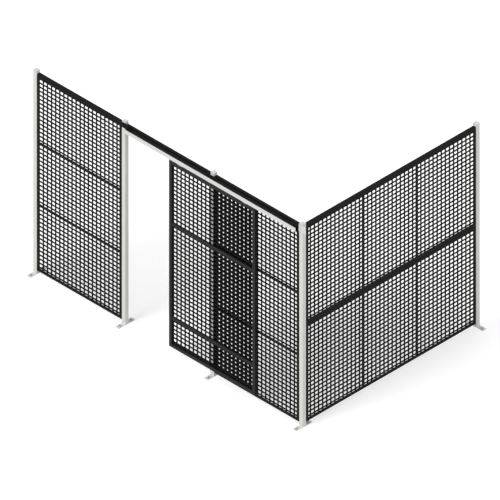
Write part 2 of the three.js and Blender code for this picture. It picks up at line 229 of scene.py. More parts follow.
def powder_coat(name, colour, patch, scuff, roughness, specular):
    """Powder coat: polyester powder sprayed on and baked. It has a soft sheen, an orange-peel
    skin, a tone that drifts a little from place to place, and scuffs and dust where shoes and
    brooms reach it."""
    material, tree, shader, place = start_material(name)
    shader.inputs["Specular IOR Level"].default_value = specular
    # The tone drifts over about 300 mm. A colour Mix node's two colours are its inputs 6 and 7,
    # and the mixed one is its output 2.
    drift = add_node(tree, "ShaderNodeTexNoise", {"Scale": 3.3, "Detail": 3.0}, {"Vector": place})
    tone = add_node(
        tree,
        "ShaderNodeMix",
        {"data_type": "RGBA", 6: tint(colour), 7: tint(patch)},
        {0: drift.outputs["Fac"]},
    )
    # Scuffs lie level, 5 mm high and 20 mm long, and fade out 250 mm above the floor.
    height = add_node(tree, "ShaderNodeSeparateXYZ", {}, {0: place})
    reach = add_node(
        tree,
        "ShaderNodeMapRange",
        {"From Min": 0.0, "From Max": 0.25, "To Min": 0.4, "To Max": 0.0},
        {"Value": height.outputs["Z"]},
    )
    level = add_node(tree, "ShaderNodeMapping", {"Scale": (1.0, 1.0, 4.0)}, {"Vector": place})
    rubs = add_node(
        tree,
        "ShaderNodeTexNoise",
        {"Scale": 50.0, "Detail": 6.0},
        {"Vector": level.outputs["Vector"]},
    )
    rubbed = add_node(
        tree,
        "ShaderNodeMapRange",
        {"From Min": 0.6, "From Max": 0.76},
        {"Value": rubs.outputs["Fac"]},
    )
    amount = add_node(
        tree,
        "ShaderNodeMath",
        {"operation": "MULTIPLY"},
        {0: reach.outputs["Result"], 1: rubbed.outputs["Result"]},
    )
    worn = add_node(
        tree,
        "ShaderNodeMix",
        {"data_type": "RGBA", 7: tint(scuff)},
        {0: amount.outputs["Value"], 6: tone.outputs[2]},
    )
    tree.links.new(worn.outputs[2], shader.inputs["Base Color"])
    # Orange peel is 1 to 2 mm across on the real coat. Here it is 4 mm, so that it shows in a
    # close view, and the roughness swings with it.
    swing = 0.06
    peel = add_node(tree, "ShaderNodeTexNoise", {"Scale": 250.0, "Detail": 2.0}, {"Vector": place})
    sheen = add_node(
        tree,
        "ShaderNodeMapRange",
        {
            "From Min": 0.3,
            "From Max": 0.7,
            "To Min": roughness - swing,
            "To Max": roughness + swing,
        },
        {"Value": peel.outputs["Fac"]},
    )
    tree.links.new(sheen.outputs["Result"], shader.inputs["Roughness"])
    skin = add_node(
        tree,
        "ShaderNodeBump",
        {"Strength": 0.25, "Distance": 0.0004},
        {"Height": peel.outputs["Fac"]},
    )
    tree.links.new(skin.outputs["Normal"], shader.inputs["Normal"])
    return material


# Satin white: the posts and the track's cover read as the pale lines of the wall.
white_coat = (
    powder_coat(
        "satin_white_powder_coat", "#e9e9e5", "#dfdfda", "#8f8b82", roughness=0.45, specular=0.5
    ),
    "white_powder_coat",
)

foot_low, foot_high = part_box("corner_foot")
start_box(foot_low, foot_high)
bpy.ops.mesh.bevel(offset=FOOT_EDGE, segments=2)
foot_plate = finished()
for side in (-1, 1):
    hole = (0, side * (foot_high.y - ANCHOR_INSET), foot_high.z / 2)
    start_rod(hole, ANCHOR_HOLE, DRILL_LENGTH * foot_high.z)
    combine(foot_plate, finished(), "DIFFERENCE")

post_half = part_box("corner_post")[1].x
foot_parts = [foot_plate]
for side in (-1, 1):
    near, far = sorted((side * (post_half - WELD_SINK), side * (post_half + WELD_LEG)))
    weld_top = foot_high.z + WELD_LEG
    weld_reach = post_half - WELD_END
    start_box((-weld_reach, near, foot_high.z - WELD_SINK), (weld_reach, far, weld_top))
    outer = side * (post_half + WELD_LEG)
    pick("EDGE", lambda edge: at(edge, "z", weld_top) and at(edge, "y", outer))
    bpy.ops.mesh.bevel(offset=WELD_ROUND, segments=5)
    pick("FACE", lambda face: abs(face.normal.x) > SQUARE_ON)
    bpy.ops.mesh.bevel(offset=WELD_SINK, segments=2)
    foot_parts.append(finished())

post_spots = {}
for post in POSTS:
    low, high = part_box(post + "_post")
    spot = Matrix.Translation(((low.x + high.x) / 2, (low.y + high.y) / 2, 0))
    post_spots[post] = spot @ QUARTER_TURN if post == "return_end" else spot


def on_posts(pattern, ending, node_ending):
    """A copy of a white pattern for each post, in place of the post's plain node."""
    for post, spot in post_spots.items():
        piece = copy_of(pattern, spot)
        dress(piece, post + ending, white_coat, nodes=[post + node_ending])
    bpy.data.objects.remove(pattern)


on_posts(gather(foot_parts), "_foot_plate", "_foot")

# ---- floor anchors ----
# A zinc-plated M12 wedge anchor holds each end of a foot: a plain washer, a hexagon nut, and the
# rolled thread of the stud standing out of it.

M12_STUD = 0.006
M12_PITCH = 0.00175
M12_THREAD = M12_PITCH / 3  # how deep it is cut
M12_FLATS = 0.019
M12_NUT = 0.0108
M12_WASHER = (0.012, 0.0025)  # radius and thickness
STUD_TURNS = 6
STUD_SIDES = 20
STUD_MERGE = 0.0001
WASHER_ROUND = 0.2  # of its thickness
HEXAGON_ROUND = 0.09  # of its width across flats


def washer(base, radius, thickness):
    """A round washer lying on the height of its base."""
    start_rod((0, 0, base + thickness / 2), radius, thickness)
    bpy.ops.mesh.bevel(offset=WASHER_ROUND * thickness, segments=1)
    return finished()


def hexagon(base, flats, height):
    """A nut or bolt head standing on the height of its base, its upper corners turned off."""
    corner = flats / 2 / math.cos(math.pi / 6)
    start_rod((0, 0, base + height / 2), corner, height, sides=6)
    pick("EDGE", lambda edge: at(edge, "z", base + height))
    bpy.ops.mesh.bevel(offset=HEXAGON_ROUND * flats, segments=2)
    return finished()


def round_end(face):
    """Whether a face closes the end of a round bar, where all the others have four sides."""
    return len(face.verts) > 4


def repeat(count, x, z, **settings):
    """The piece in hand and its copies in a row, each this far from the last."""
    return modify(
        "ARRAY",
        count=count,
        use_relative_offset=False,
        use_constant_offset=True,
        constant_offset_displace=(x, 0, z),
        **settings,
    )


def zinc_plate(name):
    """Bright zinc plate: steel with a thin electroplated and passivated coat, cool grey and half
    glossy, with faint cloudy patches and a fine crystal grain."""
    material, tree, shader, place = start_material(name)
    shader.inputs["Metallic"].default_value = 1.0
    # The patches are about 12 mm across.
    clouds = add_node(tree, "ShaderNodeTexNoise", {"Scale": 80.0, "Detail": 4.0}, {"Vector": place})
    tone = add_node(
        tree,
        "ShaderNodeMix",
        {"data_type": "RGBA", 6: tint("#c3c7c9"), 7: tint("#9fa5a9")},
        {0: clouds.outputs["Fac"]},
    )
    tree.links.new(tone.outputs[2], shader.inputs["Base Color"])
    # The grain is 1 mm across, coarser than the real one so that it shows.
    grain = add_node(tree, "ShaderNodeTexVoronoi", {"Scale": 1000.0}, {"Vector": place})
    gloss = add_node(
        tree,
        "ShaderNodeMapRange",
        {"To Min": 0.28, "To Max": 0.44},
        {"Value": grain.outputs["Distance"]},
    )
    tree.links.new(gloss.outputs["Result"], shader.inputs["Roughness"])
    return material


zinc = (zinc_plate("bright_zinc_plate"), "zinc_plated_steel")

nut_base = foot_high.z + M12_WASHER[1]
thread_base = nut_base + M12_NUT
start_rod((0, 0, thread_base + M12_PITCH / 2), M12_STUD, M12_PITCH, sides=STUD_SIDES)
pick("EDGE", lambda edge: at(edge, "z", thread_base) or at(edge, "z", thread_base + M12_PITCH))
bpy.ops.mesh.bevel(offset=M12_THREAD, segments=1)
pick("FACE", round_end)
bpy.ops.mesh.delete(type="FACE")
repeat(STUD_TURNS, 0, M12_PITCH, use_merge_vertices=True, merge_threshold=STUD_MERGE)
bpy.ops.object.mode_set(mode="EDIT")
pick("EDGE", lambda edge: edge.is_boundary)
bpy.ops.mesh.fill_holes(sides=0)  # 0 is any number of sides
stud = finished()
anchor = gather([washer(foot_high.z, *M12_WASHER), hexagon(nut_base, M12_FLATS, M12_NUT), stud])
for post, spot in post_spots.items():
    pair = []
    for side in (-1, 1):
        hole = Matrix.Translation((0, side * (foot_high.y - ANCHOR_INSET), 0))
        pair.append(copy_of(anchor, spot @ hole))
    dress(gather(pair), post + "_anchors", zinc)
bpy.data.objects.remove(anchor)

# ---- posts ----
# Square steel tube, cold-formed and seam-welded, with a 3 mm wall and rolled corners, cut to
# length and powder coated white.

POST_WALL = 0.003

post_low, post_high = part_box("corner_post")
start_box(post_low, post_high)
pick("FACE", lambda face: abs(face.normal.z) > SQUARE_ON)
bpy.ops.mesh.delete(type="FACE")
pick("EDGE", lambda edge: runs(edge, "z"))
bpy.ops.mesh.bevel(offset=POST_CORNER, segments=6)
tube = modify("SOLIDIFY", thickness=POST_WALL, offset=-1, use_even_offset=True)
on_posts(tube, "_tube", "_post")

# ---- post caps ----
# A flat white cap closes each tube. Its head lies on the cut end, with a small round all along
# its edge, and a hollow square plug under it grips the inside of the tube.

SEAT = 0.0003  # between two pieces that touch
CAP_EDGE = 0.0009
PLUG_GAP = 0.0005
PLUG_WALL = 0.002

cap_low, cap_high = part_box("corner_cap")
head_base = post_high.z + SEAT
start_box((cap_low.x, cap_low.y, head_base), cap_high)
pick("EDGE", lambda edge: runs(edge, "z"))
bpy.ops.mesh.bevel(offset=POST_CORNER, segments=6)
pick("EDGE", lambda edge: at(edge, "z", head_base) or at(edge, "z", cap_high.z))
bpy.ops.mesh.bevel(offset=CAP_EDGE, segments=3)
pick("FACE", lambda face: face.normal.z < -SQUARE_ON)
bpy.ops.mesh.inset(thickness=POST_WALL + PLUG_GAP - CAP_EDGE)
extrude(0, 0, cap_low.z - head_base)
bpy.ops.mesh.inset(thickness=PLUG_WALL)
extrude(0, 0, post_high.z - PLUG_WALL - cap_low.z)
on_posts(finished(), "_cap_head", "_cap")

# ---- panel frames ----
# Each fixed panel has a frame of 40 x 40 x 3 steel angle, mitred at the corners and welded, with
# one leg flat to the front and the other turned back. The weld on each mitre is ground to a low
# rib.

ANGLE_LEG = 0.040
ANGLE_WALL = 0.003
ANGLE_EDGE = 0.0008
MITRE_WELD = 0.0018
MITRE_RIB = 0.0007
EASE_FROM = math.radians(40)  # edges sharper than this are rounded
BAY_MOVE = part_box("right_bay_frame")[0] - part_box("left_bay_frame")[0]
STACK_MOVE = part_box("return_upper_frame")[0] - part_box("return_lower_frame")[0]


def wall_box(node):
    """A node's corners for someone who faces its own wall: along it, through it and up."""
    low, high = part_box(node)
    if not node.startswith("return"):
        return low, high
    return Vector((low.y, -high.x, low.z)), Vector((high.y, -low.x, high.z))


def start_ring(low, high, face):
    """A flat ring facing the front at low.y, as wide as face, open for editing."""
    middle = (low + high) / 2
    bpy.ops.object.select_all(action="DESELECT")
    bpy.ops.mesh.primitive_plane_add(
        size=1, location=(middle.x, low.y, middle.z), rotation=(math.pi / 2, 0, 0)
    )
    bpy.context.object.scale = (high.x - low.x, high.z - low.z, 1)
    bpy.ops.object.transform_apply()
    bpy.ops.object.mode_set(mode="EDIT")
    bpy.ops.mesh.select_all(action="SELECT")
    bpy.ops.mesh.inset(thickness=face)
    bpy.ops.mesh.delete(type="FACE")


def weld_mitres(low, high, front):
    """Raises a low rib along the four mitres on a frame's front or on its back."""
    plane, lift = (low.y, -MITRE_RIB) if front else (high.y, MITRE_RIB)
    middle = (low + high) / 2
    half = (high - low) / 2

    def on_mitre(corner):
        offset = corner.co - middle
        return abs(abs(offset.x) - half.x - abs(offset.z) + half.z) < NEAR

    pick("EDGE", lambda edge: at(edge, "y", plane) and not runs(edge, "x") and not runs(edge, "z"))
    bpy.ops.mesh.bevel(offset=MITRE_WELD, segments=2, profile=1.0)
    pick(
        "EDGE",
        lambda edge: at(edge, "y", plane) and all(on_mitre(corner) for corner in edge.verts),
    )
    bpy.ops.transform.translate(value=(0, lift, 0))


def eased(width, segments=2):
    """Rounds the sharp edges of the piece in hand."""
    return modify(
        "BEVEL", width=width, segments=segments, limit_method="ANGLE", angle_limit=EASE_FROM
    )


def angle_frame(low, high):
    """The welded angle frame between two corners of a wall."""
    start_ring(low, high, ANGLE_LEG)
    pick(
        "EDGE",
        lambda edge: any(at(edge, "x", side) for side in (low.x, high.x))
        or any(at(edge, "z", side) for side in (low.z, high.z)),
    )
    extrude(0, high.y - low.y, 0)
    modify("SOLIDIFY", thickness=ANGLE_WALL, offset=-1, use_even_offset=True)
    bpy.ops.object.mode_set(mode="EDIT")
    weld_mitres(low, high, front=True)
    return eased(ANGLE_EDGE)


# Matt black: with so little gloss the panels read as one dark tone behind their holes.
black_coat = (
    powder_coat(
        "matt_black_powder_coat", "#0b0b0b", "#101010", "#35332f", roughness=0.6, specular=0.1
    ),
    "black_powder_coat",
)

panel_spots = {
    "left_bay": Matrix.Identity(4),
    "right_bay": Matrix.Translation(BAY_MOVE),
    "return_lower": QUARTER_TURN,
    "return_upper": Matrix.Translation(STACK_MOVE) @ QUARTER_TURN,
}


def on_panels(bay_pattern, return_pattern, ending, node_ending):
    """A copy of a black pattern for each panel, in place of the panel's plain node."""
    for panel, spot in panel_spots.items():
        piece = copy_of(return_pattern if panel.startswith("return") else bay_pattern, spot)
        dress(piece, panel + ending, black_coat, nodes=[panel + node_ending])
    bpy.data.objects.remove(bay_pattern)
    bpy.data.objects.remove(return_pattern)


bay_frame = angle_frame(*wall_box("left_bay_frame"))
return_frame = angle_frame(*wall_box("return_lower_frame"))
on_panels(bay_frame, return_frame, "_angle", "_frame")

# ---- panel mesh ----
# Behind each frame's face lies a sheet of resistance-welded steel wire: upright wires in one
# layer, level wires in the other, a small nugget of squeezed metal at each crossing, and a flat
# border strip all round.

WIRE = 0.012
WIRE_ROUND = 0.0011
BORDER = 0.004
COLUMN_PITCH = 0.0586
ROW_PITCH = 0.0508
FIRST_ROW = 0.0381
NUGGET = 0.0152
NUGGET_DEPTH = 0.003
NUGGET_ROUND = NUGGET_DEPTH / 2.2


def wire_places(first, pitch, window):
    """Where the wires of one direction lie, from the first one up, if the window shows them."""
    reach = (window + WIRE) / 2
    places = [first + step * pitch for step in range(math.ceil((reach - first) / pitch))]
    return [place for place in places if place > -reach]


def column_places(blank, window):
    """The uprights are spaced about the middle of a blank of this width."""
    divisions = math.floor(blank / COLUMN_PITCH)
    return wire_places(-divisions * COLUMN_PITCH / 2, COLUMN_PITCH, window)


def mesh_sheet(low, high, columns, rows, uprights_in_front):
    """A welded sheet between two corners, with its wires at these places from its middle."""
    middle = (low + high) / 2
    front = (low.y, low.y + WIRE)
    back = (high.y - WIRE, high.y)
    upright, level = (front, back) if uprights_in_front else (back, front)
    first_x = middle.x + columns[0]
    first_z = middle.z + rows[0]
    half = WIRE / 2

    start_ring(low, high, BORDER)
    border = modify("SOLIDIFY", thickness=high.y - low.y, offset=-1)

    root = BORDER / 2
    start_box(
        (first_x - half, upright[0], low.z + root),
        (first_x + half, upright[1], high.z - root),
    )
    pick("EDGE", lambda edge: runs(edge, "z"))
    bpy.ops.mesh.bevel(offset=WIRE_ROUND, segments=2)
    uprights = repeat(len(columns), COLUMN_PITCH, 0)

    start_box(
        (low.x + root, level[0], first_z - half),
        (high.x - root, level[1], first_z + half),
    )
    pick("EDGE", lambda edge: runs(edge, "x"))
    bpy.ops.mesh.bevel(offset=WIRE_ROUND, segments=2)
    levels = repeat(len(rows), 0, ROW_PITCH)

    centre = Vector((first_x, middle.y, first_z))
    size = Vector((NUGGET, NUGGET_DEPTH, NUGGET)) / 2
    start_box(centre - size, centre + size)
    bpy.ops.mesh.bevel(offset=NUGGET_ROUND, segments=1)
    repeat(len(columns), COLUMN_PITCH, 0)
    nuggets = repeat(len(rows), 0, ROW_PITCH)
    return gather([border, uprights, levels, nuggets])


def panel_sheet(panel):
    """The sheet of a fixed panel, placed by the panel's own frame."""
    low, high = wall_box(panel + "_mesh")
    frame_low, frame_high = wall_box(panel + "_frame")
    width, height = frame_high.x - frame_low.x, frame_high.z - frame_low.z
    columns = column_places(width, width - 2 * ANGLE_LEG)
    rows = wire_places(FIRST_ROW - height / 2, ROW_PITCH, height - 2 * ANGLE_LEG)
    return mesh_sheet(low, high, columns, rows, uprights_in_front=True)


on_panels(panel_sheet("left_bay"), panel_sheet("return_lower"), "_wires", "_mesh")

# ---- stiffeners ----
# Two bars of flat steel cross each panel in front of its sheet and keep it from drumming. Each
# lies flush with the frame's face and is welded to it at both ends.

BAR_EDGE = 0.0007
END_WELD = 0.0028
END_RIB = 0.0006
END_ROUND = 0.00048


def flat_bar(low, high, long_axis):
    """A flat bar along x or z, with eased edges and a weld rib over the seam at each end."""
    along, across = (0, 2) if long_axis == "x" else (2, 0)
    start_box(low, high)
    bpy.ops.mesh.bevel(offset=BAR_EDGE, segments=2)
    parts = [finished()]
    for end in (low, high):
        seam_low, seam_high = Vector(low), Vector(high)
        seam_low[along] = end[along] - END_WELD
        seam_high[along] = end[along] + END_WELD
        seam_low[across] += BAR_EDGE
        seam_high[across] -= BAR_EDGE
        seam_low.y = low.y - END_RIB
        seam_high.y = low.y + END_RIB
        start_box(seam_low, seam_high)
        bpy.ops.mesh.bevel(offset=END_ROUND, segments=2)
        parts.append(finished())
    return gather(parts)


bay_bar = flat_bar(*wall_box("left_bay_stiffener_near"), "x")
return_bar = flat_bar(*wall_box("return_lower_stiffener_near"), "z")
return_bar.data.transform(QUARTER_TURN)
for pattern, first, panels in (
    (bay_bar, "left_bay_stiffener_near", ("left_bay", "right_bay")),
    (return_bar, "return_lower_stiffener_near", ("return_lower", "return_upper")),
):
    for panel in panels:
        for end in ("near", "far"):
            node = f"{panel}_stiffener_{end}"
            bar = copy_of(pattern, Matrix.Translation(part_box(node)[0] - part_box(first)[0]))
            dress(bar, f"{panel}_bar_{end}", black_coat, nodes=[node])
    bpy.data.objects.remove(pattern)

# ---- panel bolts ----
# M6 hexagon bolts with washers go through the frames' turned-back legs: into the posts on both
# sides, and through both frames where the two return panels meet. They are painted black with the
# frames.

M6_FLATS = 0.010
M6_HEAD = 0.004
M6_WASHER = (0.006, 0.0012)  # radius and thickness
SIDE_BOLTS = 5
STACK_BOLTS = 3
SEAM_BOLTS = 6
BOLT_MARGIN = 0.12


def hex_bolt(flats, head, washer_size):
    """A washer and bolt head on the floor of their own frame, pointing up."""
    return gather([washer(0, *washer_size), hexagon(washer_size[1], flats, head)])


def aimed(point, direction):
    """The matrix that stands an upright piece on a point, looking along a direction."""
    turn = Vector(direction).to_track_quat("Z", "Y")
    return Matrix.Translation(point) @ turn.to_matrix().to_4x4()


def spread(low, high, count):
    """Evenly spread places between two ends, the first and the last a margin in from them."""
    first, last = low + BOLT_MARGIN, high - BOLT_MARGIN
    return [first + (last - first) * step / (count - 1) for step in range(count)]


def bolt_set(pattern, name, spots, finish, body="wall"):
    """Like fasteners on these spots, as one piece."""
    dress(gather([copy_of(pattern, spot) for spot in spots]), name, finish, body)


m6_bolt = hex_bolt(M6_FLATS, M6_HEAD, M6_WASHER)
for panel, count, spot in (
    ("left_bay", SIDE_BOLTS, Matrix.Identity(4)),
    ("right_bay", SIDE_BOLTS, Matrix.Identity(4)),
    ("return_lower", STACK_BOLTS, QUARTER_TURN),
    ("return_upper", STACK_BOLTS, QUARTER_TURN),
):
    low, high = wall_box(panel + "_frame")
    behind = (wall_box(panel + "_mesh")[1].y + high.y) / 2
    spots = []
    for z in spread(low.z, high.z, count):
        spots.append(spot @ aimed((low.x + ANGLE_WALL, behind, z), (1, 0, 0)))
        spots.append(spot @ aimed((high.x - ANGLE_WALL, behind, z), (-1, 0, 0)))
    if panel == "return_lower":
        for x in spread(low.x, high.x, SEAM_BOLTS):
            spots.append(spot @ aimed((x, behind, high.z - ANGLE_WALL), (0, 0, -1)))
    if panel == "return_upper":
        for x in spread(low.x, high.x, SEAM_BOLTS):
            spots.append(spot @ aimed((x, behind, low.z + ANGLE_WALL), (0, 0, 1)))
    bolt_set(m6_bolt, panel + "_bolts", spots, black_coat)

# ---- header tie ----
# A rectangular steel tube ties the jamb post to the middle post over the doorway. A small angle
# cleat under each end is bolted to the post and to the tube.

TIE_CORNER = 0.004
CLEAT_LEG = 0.040
CLEAT_MARGIN = 0.003
CLEAT_BOLT = 0.024

tie_low, tie_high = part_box("header_tie")
start_box(tie_low, tie_high)
pick("FACE", lambda face: abs(face.normal.x) > SQUARE_ON)
bpy.ops.mesh.delete(type="FACE")
pick("EDGE", lambda edge: runs(edge, "x"))
bpy.ops.mesh.bevel(offset=TIE_CORNER, segments=5)
tie = modify("SOLIDIFY", thickness=POST_WALL, offset=-1, use_even_offset=True)
dress(tie, "header_tube", black_coat, nodes=["header_tie"])


def pull_tab(planes, wanted, x, y, z):
    """Scores a plate along planes, each a point and a normal, and pulls the wanted faces out."""
    for point, normal in planes:
        bpy.ops.mesh.select_all(action="SELECT")
        bpy.ops.mesh.bisect(plane_co=point, plane_no=normal)
    pick("FACE", wanted)
    extrude(x, y, z)


for name, post_face, inward in (
    ("header_cleat_jamb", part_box("jamb_post")[1].x, 1),
    ("header_cleat_middle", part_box("middle_post")[0].x, -1),
):
    under = tie_low.z - SEAT
    near, far = sorted((post_face, post_face + inward * ANGLE_WALL))
    cleat_front, cleat_back = tie_low.y + CLEAT_MARGIN, tie_high.y - CLEAT_MARGIN
    start_box((near, cleat_front, under - CLEAT_LEG), (far, cleat_back, under))
    fold = under - ANGLE_WALL
    pull_tab(
        [((0, 0, fold), (0, 0, 1))],
        lambda face: face.normal.x * inward > SQUARE_ON and face.calc_center_median().z > fold,
        inward * (CLEAT_LEG - ANGLE_WALL),
        0,
        0,
    )
    cleat = eased(ANGLE_EDGE)
    middle_y = (cleat_front + cleat_back) / 2
    spots = [
        aimed((post_face + inward * ANGLE_WALL, middle_y, under - CLEAT_BOLT), (inward, 0, 0)),
        aimed((post_face + inward * CLEAT_BOLT, middle_y, fold), (0, 0, -1)),
    ]
    parts = [cleat] + [copy_of(m6_bolt, spot) for spot in spots]
    dress(gather(parts), name, black_coat)

# ---- track brackets ----
# Three folded steel plates carry the track: on the jamb, middle and corner posts. Each is bolted
# to its post's face, with a tab folded over the top of the track and bolted down into it.

M8_FLATS = 0.013
M8_HEAD = 0.0053
M8_WASHER = (0.008, 0.0016)  # radius and thickness
BRACKET_WALL = 0.003
BRACKET_EDGE = 0.0007
ONE_BOLT = (0.5,)  # how far along a plate its bolt sits
BOLT_PAIR = (0.25, 0.75)  # and where there are two

track_low, track_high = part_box("door_track")
m8_bolt = hex_bolt(M8_FLATS, M8_HEAD, M8_WASHER)
tab_low = track_high.z + SEAT
tab_high = tab_low + BRACKET_WALL
for post in ("jamb", "middle", "corner"):
    low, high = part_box("track_bracket_" + post)
    face_y = high.y - BRACKET_WALL
    start_box((low.x, face_y, low.z), high)
    planes = [((0, 0, tab_low), (0, 0, 1))]
    # A plate that ends level with its tab needs no second score.
    if high.z > tab_high + NEAR:
        planes.append(((0, 0, tab_high), (0, 0, 1)))
    tab_from, tab_to = max(low.x, track_low.x), min(high.x, track_high.x)
    for side in (tab_from, tab_to):
        if low.x < side < high.x:
            planes.append(((side, 0, 0), (1, 0, 0)))

    def on_tab(face):
        middle = face.calc_center_median()
        return (
            face.normal.y < -SQUARE_ON
            and tab_low < middle.z < tab_high
            and tab_from < middle.x < tab_to
        )

    pull_tab(planes, on_tab, 0, low.y - face_y, 0)
    parts = [eased(BRACKET_EDGE)]
    middle_y = (track_low.y + track_high.y) / 2
    for share in BOLT_PAIR if post == "middle" else ONE_BOLT:
        tab_bolt = (tab_from + share * (tab_to - tab_from), middle_y, tab_high)
        parts.append(copy_of(m8_bolt, aimed(tab_bolt, (0, 0, 1))))
    if post == "jamb":
        post_x = (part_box("jamb_post")[0].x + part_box("jamb_post")[1].x) / 2
        for share in BOLT_PAIR:
            face_bolt = (post_x, face_y, low.z + share * (high.z - low.z))
            parts.append(copy_of(m8_bolt, aimed(face_bolt, (0, -1, 0))))
    bracket = gather(parts)
    dress(bracket, post + "_track_bracket", black_coat, nodes=["track_bracket_" + post])

# ---- door track ----
# A roll-formed steel section, open below by a slot that the hangers run in. The wheels roll on
# the two lips inside it.

TRACK_WALL = 0.0025
TRACK_SLOT = 0.011
TRACK_BEND = 0.003

start_box(track_low, track_high)
pick("FACE", lambda face: abs(face.normal.x) > SQUARE_ON or face.normal.z < -SQUARE_ON)
bpy.ops.mesh.delete(type="FACE")
lip = (track_high.y - track_low.y - TRACK_SLOT) / 2
for side, reach in ((track_low.y, lip), (track_high.y, -lip)):
    pick(
        "EDGE",
        lambda edge: runs(edge, "x") and at(edge, "y", side) and at(edge, "z", track_low.z),
    )
    extrude(0, reach, 0)
pick(
    "EDGE",
    lambda edge: runs(edge, "x")
    and (at(edge, "y", track_low.y) or at(edge, "y", track_high.y)),
)
bpy.ops.mesh.bevel(offset=TRACK_BEND, segments=4)
track = modify("SOLIDIFY", thickness=TRACK_WALL, offset=-1, use_even_offset=True)
dress(track, "track_section", black_coat, nodes=["door_track"])

# ---- track cover ----
# A white folded strip hides the track's front, with its lower lip turned in under the track,
# where small screws hold it out of sight.

COVER_WALL = 0.002
COVER_BEND = 0.002
COVER_SCREWS = 5
LIP_SCREW = (0.0032, 0.0014)  # radius and height
LIP_INSET = 0.0036
SCREW_SIDES = 24
SCREW_DOME = 0.7  # of its height
SCREW_SOCKET = 0.45  # of its radius

cover_low, cover_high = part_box("track_cover")
start_box(cover_low, cover_high)
pick("FACE", lambda face: face.normal.y > -SQUARE_ON and face.normal.z > -SQUARE_ON)
bpy.ops.mesh.delete(type="FACE")
pick(
    "EDGE",
    lambda edge: runs(edge, "x")
    and at(edge, "y", cover_low.y)
    and at(edge, "z", cover_low.z),
)
bpy.ops.mesh.bevel(offset=COVER_BEND, segments=4)
cover = modify("SOLIDIFY", thickness=COVER_WALL, offset=-1, use_even_offset=True)


def pan_screw(radius, height):
    """A low domed screw head with a hexagon socket, on the floor of its own frame."""
    start_rod((0, 0, height / 2), radius, height, sides=SCREW_SIDES)
    pick("EDGE", lambda edge: at(edge, "z", height))
    bpy.ops.mesh.bevel(offset=SCREW_DOME * height, segments=3)
    head = finished()
    start_rod((0, 0, height), SCREW_SOCKET * radius, height, sides=6)
    combine(head, finished(), "DIFFERENCE")
    return head


lip_screw = pan_screw(*LIP_SCREW)
lip_y = cover_high.y - LIP_INSET
screws = [
    copy_of(lip_screw, aimed((x, lip_y, cover_low.z), (0, 0, -1)))
    for x in spread(cover_low.x, cover_high.x, COVER_SCREWS)
]
bpy.data.objects.remove(lip_screw)
cover = gather([cover] + screws)
dress(cover, "track_cover_strip", white_coat, nodes=["track_cover"])

# ---- corner cover plate ----
# A flat white plate closes the end of the header at the corner post. Four button screws hold it
# on the corner bracket and the post.

PLATE_EDGE = 0.0008
PLATE_SCREW = (0.0055, 0.0026)  # radius and height
PLATE_MARGIN = 0.012

plate_low, plate_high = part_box("corner_cover_plate")
start_box(plate_low, plate_high)
bpy.ops.mesh.bevel(offset=PLATE_EDGE, segments=2)
parts = [finished()]
button = pan_screw(*PLATE_SCREW)
for x in (-post_half + PLATE_MARGIN, post_half - PLATE_MARGIN):
    for z in (plate_low.z + PLATE_MARGIN, plate_high.z - PLATE_MARGIN):
        parts.append(copy_of(button, aimed((x, plate_low.y, z), (0, -1, 0))))
bpy.data.objects.remove(button)
dress(gather(parts), "corner_plate", white_coat, nodes=["corner_cover_plate"])

# ---- end stops ----
# A moulded rubber block stands in each end of the track and catches the wheels. A bolt from above
# pulls it up against the track's roof.

STOP_EDGE = 0.002


def moulded(name, colour, patch, roughness, grit):
    """Plastic or rubber, coloured through: a dull skin with a fine grit from its mould or its
    machining, and a tone that is a little uneven."""
    material, tree, shader, place = start_material(name)
    # The blotches are 25 mm across.
    blotch = add_node(tree, "ShaderNodeTexNoise", {"Scale": 40.0, "Detail": 3.0}, {"Vector": place})
    tone = add_node(
        tree,
        "ShaderNodeMix",
        {"data_type": "RGBA", 6: tint(colour), 7: tint(patch)},
        {0: blotch.outputs["Fac"]},
    )
    tree.links.new(tone.outputs[2], shader.inputs["Base Color"])
    # The grit stands up by an eighth of its width, and the roughness swings with it.
    swing = 0.08
    grain = add_node(
        tree, "ShaderNodeTexNoise", {"Scale": 1 / grit, "Detail": 2.0}, {"Vector": place}
    )
    dull = add_node(
        tree,
        "ShaderNodeMapRange",
        {"To Min": roughness - swing, "To Max": roughness + swing},
        {"Value": grain.outputs["Fac"]},
    )
    tree.links.new(dull.outputs["Result"], shader.inputs["Roughness"])
    skin = add_node(
        tree,
        "ShaderNodeBump",
        {"Strength": 0.3, "Distance": grit / 8},
        {"Height": grain.outputs["Fac"]},
    )
    tree.links.new(skin.outputs["Normal"], shader.inputs["Normal"])
    return material


# EPDM rubber, 1.5 mm grit: matt and near black, with a grey bloom.
rubber = (
    moulded("moulded_epdm_rubber", "#1c1c1c", "#262625", roughness=0.82, grit=0.0015),
    "stop_rubber",
)

for end in ("shut", "open"):
    low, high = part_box("track_stop_" + end)
    start_box(low, high)
    bpy.ops.mesh.bevel(offset=STOP_EDGE, segments=3)
    dress(finished(), end + "_stop_block", rubber, nodes=["track_stop_" + end])
    middle = (low + high) / 2
    spot = aimed((middle.x, middle.y, track_high.z), (0, 0, 1))
    bolt_set(m8_bolt, end + "_stop_bolt", [spot], black_coat)

# ---- door leaf frame ----
# The leaf's frame is rectangular steel tube, mitred and welded at the corners, powder coated
# charcoal. Its bottom rail is open below as a groove for the floor guide.

DOOR_FACE = 0.0381
DOOR_CORNER = 0.0025
GROOVE_WIDTH = 0.024
GROOVE_DEPTH = 0.022
GROOVE_OVERRUN = 0.01

# Matt charcoal: one step paler than the mesh, as the leaf's edges show against it.
charcoal_coat = (
    powder_coat(
        "matt_charcoal_powder_coat", "#1f1f21", "#252527", "#4a4844", roughness=0.55, specular=0.15
    ),
    "charcoal_powder_coat",
)

